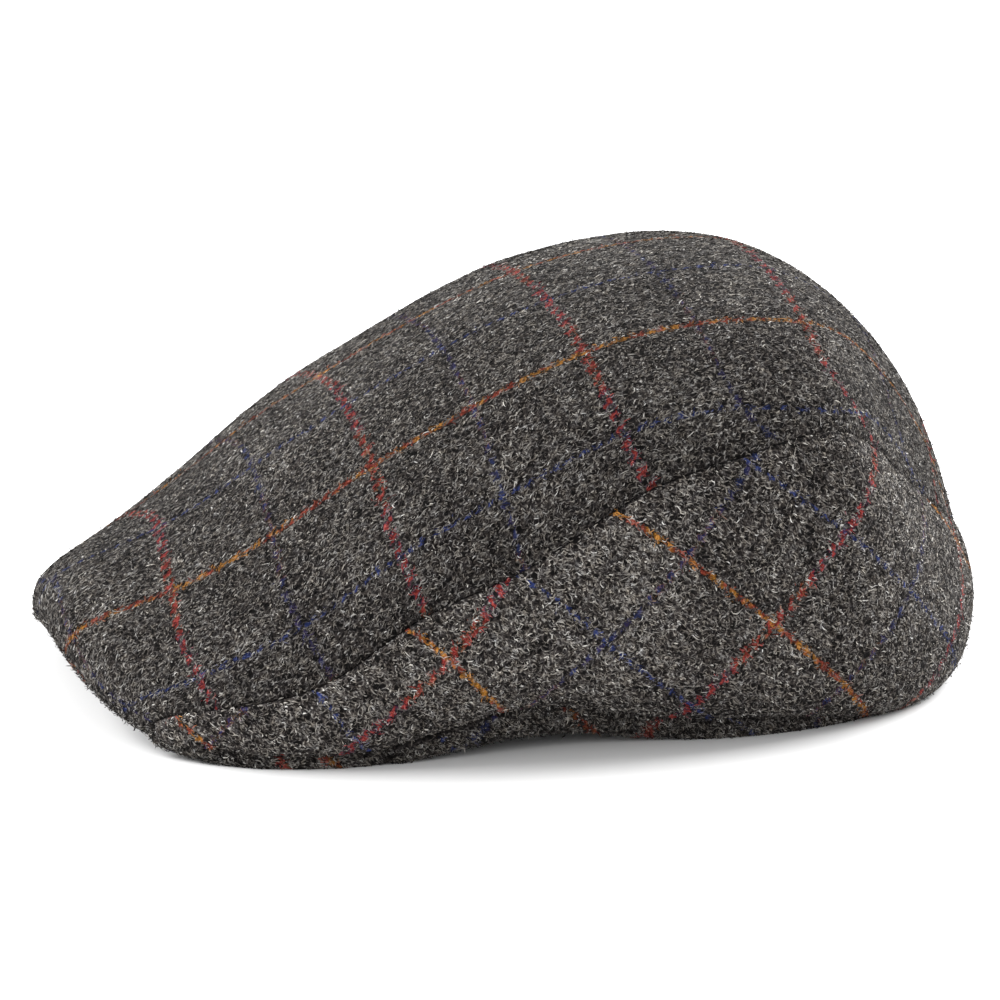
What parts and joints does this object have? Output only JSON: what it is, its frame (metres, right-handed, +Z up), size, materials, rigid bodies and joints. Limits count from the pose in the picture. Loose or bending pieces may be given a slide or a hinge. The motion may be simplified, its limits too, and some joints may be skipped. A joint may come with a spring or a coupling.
{
  "type": "flat cap",
  "caption": "Tweed flat cap: a domed top panel sewn to two side panels and drawn down over a short stiff curved peak, with a narrow turned-up band round the sides and back.",
  "frame": {"origin": "on the floor, under the middle of the cap's box", "axes": "+Z up, the peak points along -Y, the wearer's left is +X"},
  "size_m": [0.1996, 0.2708, 0.1206],
  "materials": {
    "crown_tweed": "heathered charcoal wool tweed with a fine windowpane check",
    "peak_tweed": "the same tweed over a stiff board",
    "band_tweed": "the same tweed, folded double"
  },
  "bodies": {
    "root": {"top_panel": "crown_tweed", "side_panel_left": "crown_tweed", "side_panel_right": "crown_tweed", "peak": "peak_tweed", "band": "band_tweed"}
  },
  "joints": []
}
